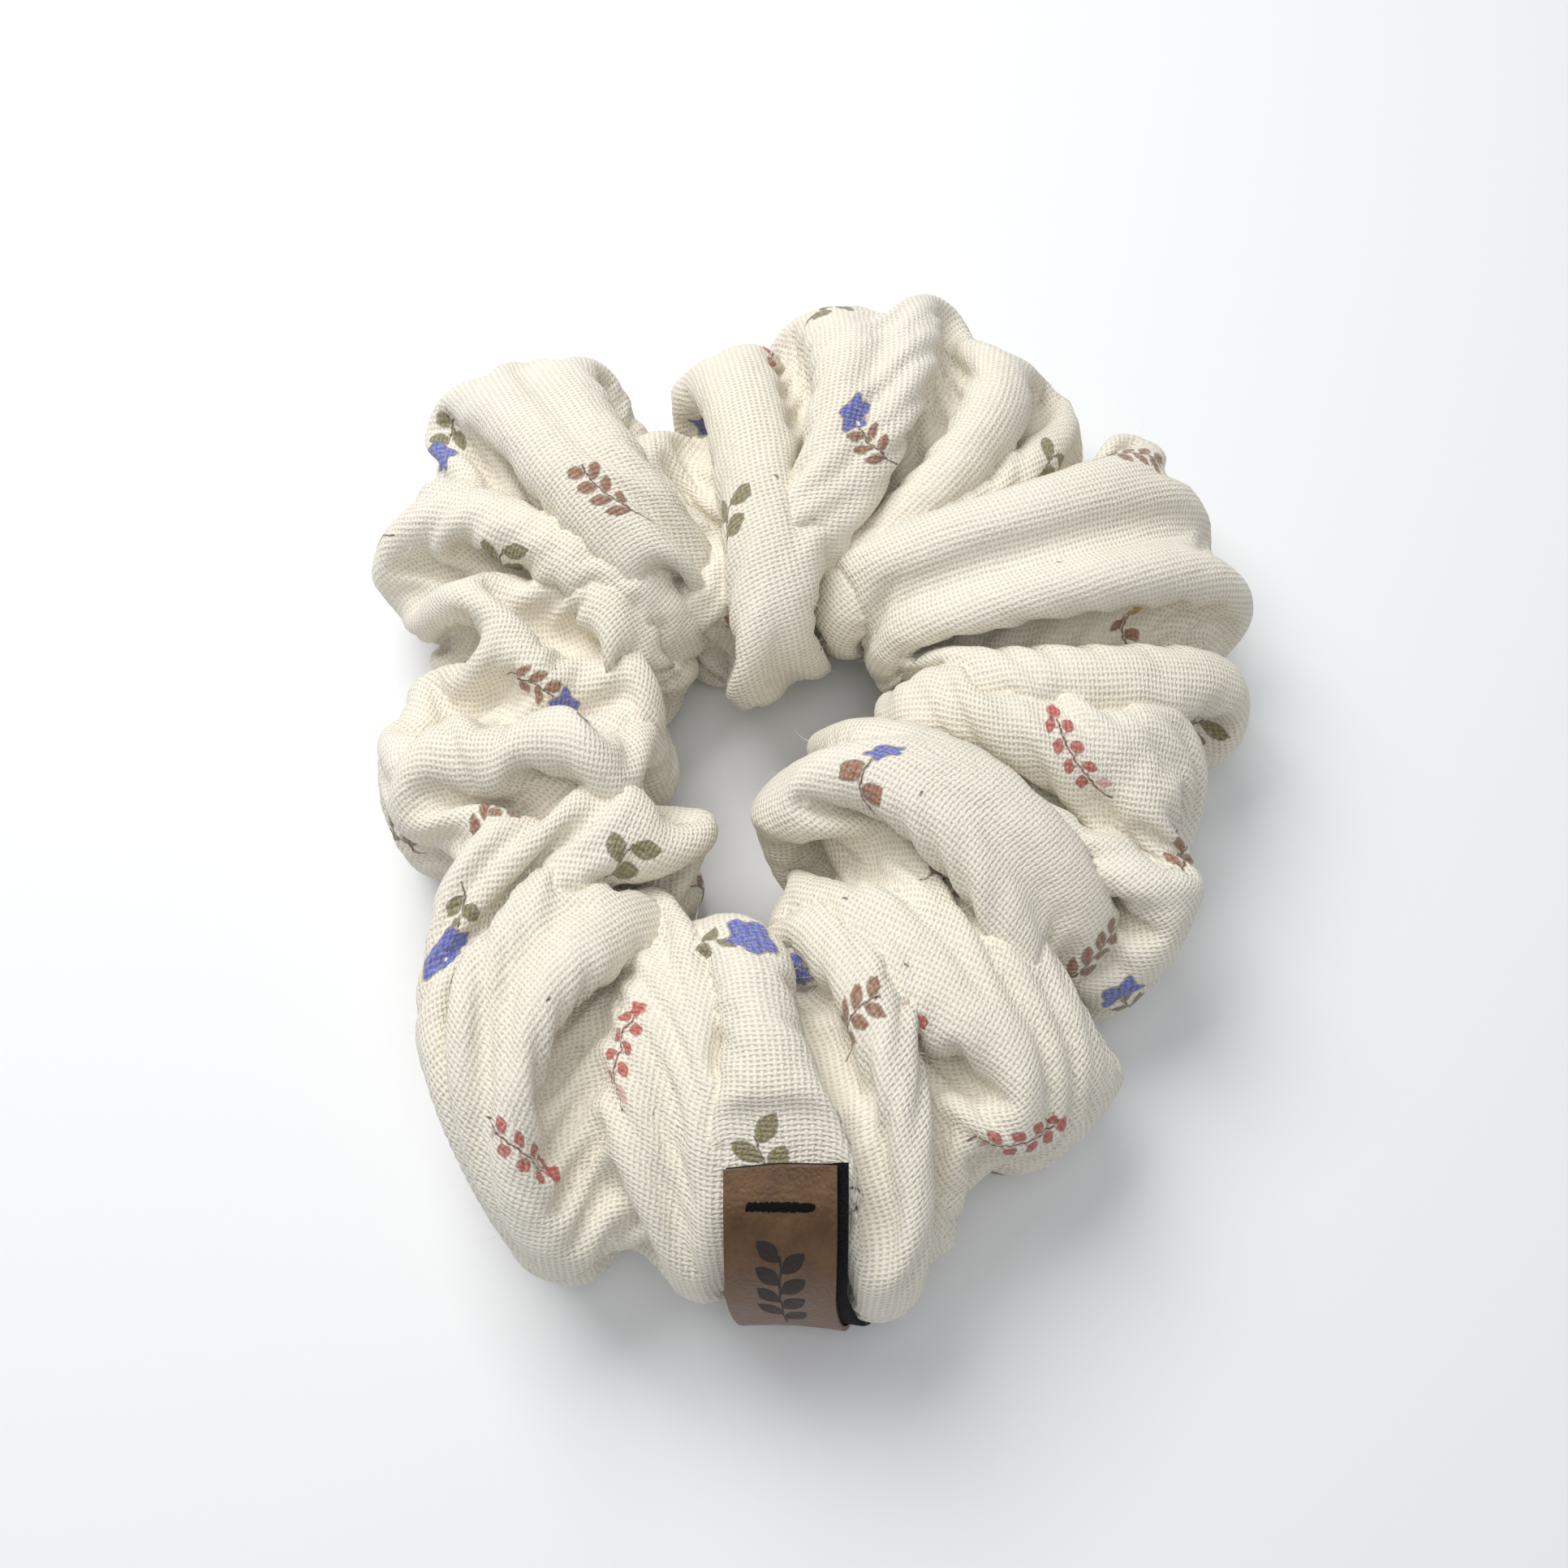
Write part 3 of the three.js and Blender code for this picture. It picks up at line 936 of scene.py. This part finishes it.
def make_gauze():
    material = plain_material("gauze", THREAD_COLOUR, 0.88)
    tree = material.node_tree
    height, gap, cloud, place = weave(tree)
    colour = blend_colour(cloud.between(0.3, 0.7) * 0.6, THREAD_COLOUR, THREAD_SHADE)
    hairy = noise(place, 5200.0, 3.0)
    # painted shade: the gaps are darkened where the second layer lies in the shadow of the first
    colour = blend_colour(gap * (hairy * 0.7 + 0.3), colour, GAP_SHADOW_COLOUR)
    ink, ink_colour = draw_flowers(tree)
    grip = height.between(0.35, 1.05) * 0.3 + 0.7
    blot = noise(place, 1900.0).between(0.22, 0.5) * 0.3 + 0.7
    colour = blend_colour(ink * grip * blot, colour, ink_colour)
    along, across, _ = split(place)
    crinkles = noise(join(along * CRINKLE_SCALE[0], across * CRINKLE_SCALE[1]), 1.0, 3.0)
    soft = bump(crinkles, CRINKLE_DEPTH)
    shade(
        material,
        Base_Color=colour,
        Normal=bump(height + hairy * 0.4, WEAVE_DEPTH, soft),
        Sheen_Weight=0.25,
        Sheen_Roughness=0.5,
        Specular_IOR_Level=0.15,
    )
    return material


cover.data.materials.append(make_gauze())
print("gauze has", len(cover.data.materials[0].node_tree.nodes), "nodes")


# %% [markdown]
# ## The label
#
# The label is a strip of brown leather-like stuff on black felt, folded once round the edge of the
# scrunchie and held by one bar of black thread. Both layers are grids laid along the same bend: the felt
# against the cloth, the brown face outside it. The strip was sewn on a little askew, so its lower half
# drifts to the right, and the felt shows as a black edge there. A maker would cut, glue and fold it in
# that order too.

# %% Cut and fold the label
FELT_THICKNESS = 0.9
FACE_THICKNESS = 0.6
GLUE_GAP = 0.1
FELT_WIDTH = 13.5
FELT_SHIFT = 0.75
FACE_DRIFT = 4.0
FELT_DRIFT = 7.0
LABEL_TILT = 0.05
LABEL_SLANT = 0.10
LABEL_CURL = 0.35
CUT_CORNER = 0.15 * MM
STRIPS_ACROSS = 14


def on_the_bend(spread, distance, width, lift, askew):
    """Places on the label's bend: a row for each distance, with its points spread to both sides."""
    parts = len(distance) - 1
    drift = askew * np.clip((distance - 0.3) / 0.45, 0, 1) ** 1.3
    points = np.zeros((parts + 1, len(spread), 3))
    slant = LABEL_SLANT * np.interp(distance, (0, 0.45, 1), (-1, 1, 0.5))
    for k in range(parts + 1):
        at = np.clip(k + slant[k] * spread / label_length * parts, 0, parts)
        lifted = lift + LABEL_TILT * spread + LABEL_CURL * (spread / width * 2) ** 2
        points[k, :, 0] = LABEL_MIDDLE + drift[k] + spread
        for axis in (0, 1):
            line = np.interp(at, np.arange(parts + 1), label_line[:, axis])
            out = np.interp(at, np.arange(parts + 1), label_out[:, axis])
            points[k, :, 1 + axis] = line + out * lifted
    return points


def add_thickness(strip, thickness):
    bpy.context.view_layer.objects.active = strip
    wall = strip.modifiers.new("thickness", "SOLIDIFY")
    wall.thickness = thickness * MM
    wall.offset = 1
    bpy.ops.object.modifier_apply(modifier="thickness")
    edge = strip.modifiers.new("worn edge", "BEVEL")
    edge.width = CUT_CORNER
    edge.segments = 2
    edge.limit_method = "ANGLE"
    edge.angle_limit = math.radians(60)
    bpy.ops.object.modifier_apply(modifier="worn edge")
    strip.data.shade_smooth()


def lay_strip(name, width, shift, lift, thickness, askew):
    """A grid on the label's bend, lifted off it, with thickness added outward and its edges rounded."""
    parts = len(label_line) - 1
    bpy.ops.object.select_all(action="DESELECT")
    bpy.ops.mesh.primitive_grid_add(x_subdivisions=STRIPS_ACROSS, y_subdivisions=parts, size=1)
    strip = bpy.context.object
    strip.name = strip.data.name = name
    spread = np.linspace(-0.5, 0.5, STRIPS_ACROSS + 1) * width + shift
    distance = np.linspace(0, 1, parts + 1)
    points = on_the_bend(spread, distance, width, lift, askew)
    strip.data.vertices.foreach_set("co", (points * MM).ravel())
    across, along = np.meshgrid(spread, distance * label_length)
    flat = np.stack([across, along], -1).reshape(-1, 2) * MM
    corner = np.zeros(len(strip.data.loops), int)
    strip.data.loops.foreach_get("vertex_index", corner)
    strip.data.uv_layers[0].name = "label"
    strip.data.uv_layers[0].data.foreach_set("uv", flat[corner].ravel())
    face_outward(strip)
    add_thickness(strip, thickness)
    return strip


def face_outward(strip):
    """Turn the strip's faces so that they point away from the cloth."""
    face = strip.data.polygons[0]
    if face.normal.dot(Vector((0, *label_out[0]))) < 0:
        strip.data.flip_normals()


label_felt = lay_strip("label_felt", FELT_WIDTH, FELT_SHIFT, 0, FELT_THICKNESS, FELT_DRIFT)
FACE_LIFT = FELT_THICKNESS + GLUE_GAP
label_leather = lay_strip("label_leather", LABEL_WIDTH, 0, FACE_LIFT, FACE_THICKNESS, FACE_DRIFT)
print("leather has", len(label_leather.data.polygons), "faces, felt", len(label_felt.data.polygons))

# %% Colour the leather and the felt
LEATHER = (0.165, 0.084, 0.032)
LEATHER_DARK = (0.095, 0.046, 0.018)
LEATHER_PAST_BEND = (0.215, 0.115, 0.075)
FELT = (0.006, 0.006, 0.008)
SPRIG_FROM, SPRIG_TO = -22.0, -9.5
SPRIG_SPACING = 2.9
SPRIG_LEAF = (3.3, 0.75, 0.2)
BURNT = (0.008, 0.006, 0.006)
FELT_FIBRE = (0.022, 0.022, 0.028)


def make_leather():
    """Fine pebbled grain, cloudy brown, paler from the bend on, with a leaf sprig burnt into it."""
    material = plain_material("label leather", LEATHER, 0.5)
    tree = material.node_tree
    place = map_of(tree, "label")
    across, along, _ = split(place)
    cells = tree.nodes.new("ShaderNodeTexVoronoi")
    cells.feature = "SMOOTH_F1"
    cells.inputs["Scale"].default_value = 2100.0
    tree.links.new(place.socket, cells.inputs["Vector"])
    pebbles = Wire(tree, cells.outputs["Distance"])
    cloud = noise(place, 240.0, 4.0)
    fine = noise(place, 3200.0, 3.0)
    colour = blend_colour(cloud.between(0.35, 0.65), LEATHER_DARK, LEATHER)
    colour = blend_colour(pebbles.between(0.45, 0.8) * 0.35, colour, LEATHER_DARK)
    # the leather is paler and more mauve from the bend on, down the outer face and round the underside
    bent = along.between(0.010, 0.022) * 0.55
    colour = blend_colour(bent, colour, LEATHER_PAST_BEND)
    x = across / MM + (noise(place, 500.0) - 0.5) * 0.7
    y = along / MM * -1
    stem, leaves, lines = draw_sprig(x, y, (SPRIG_FROM, SPRIG_TO), SPRIG_SPACING, SPRIG_LEAF)
    burnt = stem.math("MAXIMUM", lines).math("MAXIMUM", leaves * 0.85)
    colour = blend_colour(burnt, colour, BURNT)
    relief = bump(pebbles * -1 + fine * 0.5 - burnt * 0.8, 0.09 * MM)
    roughness = cloud.between(0.3, 0.7) * 0.18 + 0.36
    shade(material, Base_Color=colour, Roughness=roughness + burnt * 0.25, Normal=relief)
    return material


def make_felt():
    material = plain_material("label felt", FELT, 1.0)
    place = place_of(material.node_tree)
    fibres = noise(place, 5200.0, 4.0)
    colour = blend_colour(fibres.between(0.4, 0.75), FELT, FELT_FIBRE)
    shade(material, Base_Color=colour, Normal=bump(fibres, 0.25 * MM))
    shade(material, Sheen_Weight=0.06, Specular_IOR_Level=0.05)
    return material


def finish_label(strip, material, node):
    strip.data.materials.append(material)
    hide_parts(node)
    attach(strip, "front")


finish_label(label_leather, make_leather(), "label_face")
finish_label(label_felt, make_felt(), "label_backing")


# %% [markdown]
# ## Thread
#
# All the sewing is made of one stitch: a short rounded grain with pointed ends. It is modelled once and
# laid down again and again: in a tight slanting row for the bar on the label, end to end for the long
# seam inside the tube, across the seam where the last gap was closed by hand, and in a zigzag where the
# elastic is joined.

# %% Model one stitch
THREAD_RADIUS = 0.17


def one_stitch():
    """The points, from -1 to 1 along x, and the faces of one stitch."""
    bpy.ops.object.select_all(action="DESELECT")
    bpy.ops.mesh.primitive_uv_sphere_add(segments=8, ring_count=7, radius=1)
    grain = bpy.context.object
    bpy.ops.object.mode_set(mode="EDIT")
    bpy.ops.mesh.select_all(action="SELECT")
    bpy.ops.transform.rotate(value=math.pi / 2, orient_axis="Y", center_override=(0, 0, 0))
    bpy.ops.object.mode_set(mode="OBJECT")
    points = np.array([v.co for v in grain.data.vertices])
    points[:, 2] -= 0.9 * points[:, 0] ** 2
    faces = [list(f.vertices) for f in grain.data.polygons]
    bpy.data.objects.remove(grain)
    return points, faces


STITCH_POINTS, STITCH_FACES = one_stitch()


def sew(name, stitches, material, radius=THREAD_RADIUS):
    """One object from a list of stitches, each with its two ends and the way it faces, in mm."""
    points, faces = [], []
    for start, end, facing in stitches:
        start, end = np.array(start, float), np.array(end, float)
        half = (end - start) / 2
        along = half / np.linalg.norm(half)
        side = np.cross(facing, along)
        side /= np.linalg.norm(side)
        up = np.cross(along, side)
        turned = STITCH_POINTS[:, :1] * half
        turned = turned + radius * (STITCH_POINTS[:, 1:2] * side + STITCH_POINTS[:, 2:] * up)
        count = len(points) * len(STITCH_POINTS)
        faces += [[count + v for v in face] for face in STITCH_FACES]
        points.append(turned + (start + end) / 2)
    mesh = mesh_of(name, np.concatenate(points), faces)
    mesh.materials.append(material)
    mesh.shade_smooth()
    print(name, "has", len(stitches), "stitches")
    return add_object(name, mesh)


def make_thread(name, colour, shadow):
    """Twisted thread: fine slanting plies, darker between them."""
    material = plain_material(name, colour, 0.7)
    x, y, z = split(place_of(material.node_tree))
    plies = ((x + y + z) * (2 * math.pi / (0.22 * MM))).cosine() * 0.5 + 0.5
    mixed = blend_colour(plies, shadow, colour)
    shade(material, Base_Color=mixed, Normal=bump(plies, 0.05 * MM), Specular_IOR_Level=0.15)
    return material


black_thread = make_thread("black thread", (0.007, 0.006, 0.007), (0.002, 0.002, 0.002))
cream_thread = make_thread("cream thread", (0.80, 0.75, 0.62), (0.60, 0.53, 0.38))

# %% Sew the bar on the label
TACK_LENGTH = 7.0
TACK_FROM_END = 4.4
TACK_STITCHES = 24
TACK_SLANT = 0.55
TACK_HALF_HEIGHT = 0.58
TACK_RADIUS = 0.28
TACK_PROUD = 0.12


def tack_stitches():
    at = int(round(TACK_FROM_END / label_length * (len(label_line) - 1)))
    out, way = label_out[at], label_way[at]
    base = label_line[at] + out * (FACE_LIFT + FACE_THICKNESS + TACK_PROUD)
    rng = np.random.default_rng(4)
    stitches = []
    for x in np.linspace(-TACK_LENGTH / 2, TACK_LENGTH / 2, TACK_STITCHES):
        half = TACK_HALF_HEIGHT + rng.uniform(-0.1, 0.1)
        height = base + out * LABEL_TILT * x
        low = (LABEL_MIDDLE + x - TACK_SLANT / 2, *(height + way * half))
        high = (LABEL_MIDDLE + x + TACK_SLANT / 2, *(height - way * half))
        stitches.append((low, high, (0, *out)))
    return stitches


label_bar = sew("label_bar", tack_stitches(), black_thread, TACK_RADIUS)
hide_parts("label_tack")
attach(label_bar, "front")

# %% Sew the long seam and close the last gap
SEAM_INSIDE = 1.1
SEAM_EVERY = 3
CLOSING_TURN = 0.83
CLOSING_STITCHES = 8
CLOSING_PROUD = 0.1
STITCH_GAP = 0.08


def seam_stitches():
    line = gathered[:, 0] - SEAM_INSIDE * outward(gathered)[:, 0]
    stitches = []
    for row in range(0, len(line) - SEAM_EVERY, SEAM_EVERY):
        start, end = line[row], line[row + SEAM_EVERY]
        start, end = start + STITCH_GAP * (end - start), end - STITCH_GAP * (end - start)
        stitches.append((start, end, start - ELASTIC_MIDDLE))
    return stitches


def closing_stitches():
    seam = gathered[:, 0] - ELASTIC_MIDDLE
    turns = np.arctan2(seam[:, 1], seam[:, 0]) / (2 * math.pi) % 1
    first = int(np.abs(turns - CLOSING_TURN).argmin())
    out = outward(gathered)
    stitches = []
    for i in range(CLOSING_STITCHES):
        row = (first + 2 * i) % len(gathered)
        start = gathered[row, 1] + CLOSING_PROUD * out[row, 1]
        end = gathered[(row + 1) % len(gathered), -1] + CLOSING_PROUD * out[row, -1]
        stitches.append((start, end, out[row, 0]))
    return stitches


seam_thread = sew("seam_thread", seam_stitches(), cream_thread)
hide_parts("seam_thread_front", "seam_thread_back")
closing_thread = sew("closing_stitches", closing_stitches(), cream_thread)
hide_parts("closing_thread")
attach(closing_thread, "front")


# %% [markdown]
# ## The elastic
#
# Inside the tube runs a loop of flat ribbed elastic, lapped over itself and joined with a zigzag. A ring
# primitive becomes a flat band when its section is pressed thin, and the ribs come from moving every
# second line of its points inward. It is stretched into the same long ring as the hole.

# %% Make the elastic band
BAND_WIDTH = 7.0
BAND_THICKNESS = 1.2
BAND_ROUND = 180
BAND_SECTION = 28
COURSES_ROUND = 300.0
WALE_SPACING = 0.5 * MM
LAP_TURN = 0.22 * 2 * math.pi
LAP_LENGTH = 12.0
LAP_SHIFT = 1.35
ZIGZAG_REACH = 0.13
ZIGZAG_CORNERS = 13
ZIGZAG_HALF_HEIGHT = 2.2
ZIGZAG_SHIFT = 2.15


def elastic_band():
    bpy.ops.object.select_all(action="DESELECT")
    bpy.ops.mesh.primitive_torus_add(
        major_segments=BAND_ROUND, minor_segments=BAND_SECTION, major_radius=1.0, minor_radius=0.1,
        location=(0, 0, 0),
    )
    band = bpy.context.object
    band.name = band.data.name = "elastic"
    points = np.array([v.co for v in band.data.vertices])
    turn = np.arctan2(points[:, 1], points[:, 0])
    across = (np.hypot(points[:, 0], points[:, 1]) - 1.0) / 0.1
    height = points[:, 2] / 0.1
    section = np.round(np.arctan2(height, across) / (2 * math.pi) * BAND_SECTION).astype(int)
    rib = np.where(section % 2 == 0, 1.0, 0.72)
    across = np.sign(across) * np.abs(across) ** 0.45 * rib * BAND_THICKNESS / 2
    shaped = np.stack([
        (ELASTIC_HALF[0] + across) * np.cos(turn),
        (ELASTIC_HALF[1] + across) * np.sin(turn),
        height * BAND_WIDTH / 2,
    ], -1)
    band.data.vertices.foreach_set("co", ((shaped + ELASTIC_MIDDLE) * MM).ravel())
    band.data.shade_smooth()
    return band


def elastic_lap(band):
    """The lapped end: the same band over a short arc, copied and moved just outside it."""
    lap = add_object("elastic_lap", band.data.copy())
    lap.data.name = "elastic_lap"
    bpy.ops.object.select_all(action="DESELECT")
    bpy.context.view_layer.objects.active = lap
    lap.select_set(True)
    bpy.ops.object.mode_set(mode="EDIT")
    bpy.ops.mesh.select_mode(type="FACE")
    bpy.ops.mesh.select_all(action="DESELECT")
    bpy.ops.object.mode_set(mode="OBJECT")
    reach = LAP_LENGTH / 2 / ELASTIC_HALF[1]
    middle = Vector(ELASTIC_MIDDLE) * MM
    for face in lap.data.polygons:
        away = face.center - middle
        turn = math.atan2(away.y / ELASTIC_HALF[1], away.x / ELASTIC_HALF[0])
        face.select = abs(turn - LAP_TURN) > reach
    bpy.ops.object.mode_set(mode="EDIT")
    bpy.ops.mesh.delete(type="FACE")
    bpy.ops.mesh.select_mode(type="EDGE")
    bpy.ops.mesh.select_non_manifold(extend=False)
    bpy.ops.mesh.edge_face_add()
    bpy.ops.mesh.select_all(action="SELECT")
    shift = Vector((math.cos(LAP_TURN), math.sin(LAP_TURN), 0)) * LAP_SHIFT * MM
    bpy.ops.transform.translate(value=shift)
    bpy.ops.object.mode_set(mode="OBJECT")
    return lap


def make_elastic():
    """White knitted rubber: fine courses across the band, and slightly shiny."""
    material = plain_material("elastic", (0.80, 0.79, 0.76), 0.55)
    place = place_of(material.node_tree)
    x, y, z = split(place)
    turn = (y - ELASTIC_MIDDLE[1] * MM).math("ARCTAN2", x - ELASTIC_MIDDLE[0] * MM)
    courses = (turn * COURSES_ROUND).cosine() * 0.5 + 0.5
    wales = (z * (2 * math.pi / WALE_SPACING)).cosine() * 0.5 + 0.5
    knit = courses * wales
    # painted shade: the knit's colour is darker in the hollows between courses and wales
    colour = blend_colour(knit, (0.62, 0.61, 0.57), (0.84, 0.83, 0.80))
    shade(material, Base_Color=colour, Normal=bump(knit, 0.08 * MM))
    return material


def lap_stitches():
    """A zigzag over the lap, on its outer side."""
    turns = LAP_TURN + np.linspace(-ZIGZAG_REACH, ZIGZAG_REACH, ZIGZAG_CORNERS)
    corners = []
    for i, turn in enumerate(turns):
        out = np.array([math.cos(turn), math.sin(turn), 0])
        ring = ELASTIC_MIDDLE + out * (np.array([*ELASTIC_HALF, 0]) + ZIGZAG_SHIFT)
        height = ZIGZAG_HALF_HEIGHT if i % 2 else -ZIGZAG_HALF_HEIGHT
        corners.append((ring + np.array([0, 0, height]), out))
    return [(a, b, out) for (a, out), (b, _) in zip(corners, corners[1:])]


elastic = elastic_band()
lapped_end = elastic_lap(elastic)
lap_zigzag = sew("lap_zigzag", lap_stitches(), cream_thread)
elastic_material = make_elastic()
for piece in (elastic, lapped_end):
    piece.data.materials.append(elastic_material)
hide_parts("elastic_front", "elastic_back")
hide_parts("elastic_overlap")
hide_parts("overlap_stitches")
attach(lapped_end, "back")
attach(lap_zigzag, "back")
print("elastic has", len(elastic.data.polygons), "faces")


# %% [markdown]
# ## Cotton fluff
#
# Soft cotton always has loose fibres standing out of it, and they are what makes an edge look like cloth.
# Each fibre is a curved sliver of three faces, thinner than a hair, rooted in a thread of the gauze.

# %% Grow the fluff
FIBRES = 9000
FIBRE_PARTS = 3
FIBRE_HALF_WIDTH = 0.026


def grow_fluff():
    rng = np.random.default_rng(21)
    root = gathered.reshape(-1, 3)
    out = outward(gathered).reshape(-1, 3)
    chosen = rng.integers(len(root), size=FIBRES)
    root, out = root[chosen], out[chosen]
    aside = np.cross(out, rng.normal(size=(FIBRES, 3)))
    aside /= np.linalg.norm(aside, axis=1, keepdims=True)
    length = rng.gamma(3.0, 0.32, FIBRES)[:, None]
    curl = rng.uniform(-0.8, 0.8, FIBRES)[:, None]
    lean = rng.uniform(0.1, 1.3, FIBRES)[:, None]
    edge = np.cross(out, aside)
    points = np.zeros((FIBRES, FIBRE_PARTS + 1, 2, 3))
    for i, t in enumerate(np.linspace(0, 1, FIBRE_PARTS + 1)):
        middle = root + length * (t * out + lean * t * t * aside + curl * t ** 3 * edge * 0.5)
        width = FIBRE_HALF_WIDTH * (1.05 - t)
        points[:, i, 0], points[:, i, 1] = middle - width * edge, middle + width * edge
    points[..., 2] = np.maximum(points[..., 2], TABLE_GAP / 2)
    first = 2 * (FIBRE_PARTS + 1) * np.arange(FIBRES)[:, None] + 2 * np.arange(FIBRE_PARTS)
    faces = np.stack([first, first + 1, first + 3, first + 2], -1).reshape(-1, 4).tolist()
    return add_object("cotton_fluff", mesh_of("cotton_fluff", points.reshape(-1, 3), faces))


def make_fluff():
    material = plain_material("cotton fibre", (0.90, 0.87, 0.80), 0.8)
    cloud = noise(place_of(material.node_tree), 90.0)
    colour = blend_colour(cloud, (0.93, 0.90, 0.84), (0.84, 0.78, 0.68))
    shade(material, Base_Color=colour, Sheen_Weight=0.3)
    return material


cotton_fluff = grow_fluff()
cotton_fluff.data.materials.append(make_fluff())
print("fluff has", FIBRES, "fibres")


# %% [markdown]
# ## Let it stretch
#
# The frame's one joint pulls the back half away from the front half. The label, its bar and the joined
# end of the elastic are too firm to give, so each rides on its own half. The tube, its seam, its fluff
# and the elastic stretch, so they follow both halves: points near the label keep to the front, points at
# the far side go with the back, and those between share the way, which opens the gathers evenly.

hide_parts("cover_front", "cover_back")
for piece in (cover, cotton_fluff, seam_thread, elastic):
    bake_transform(piece)
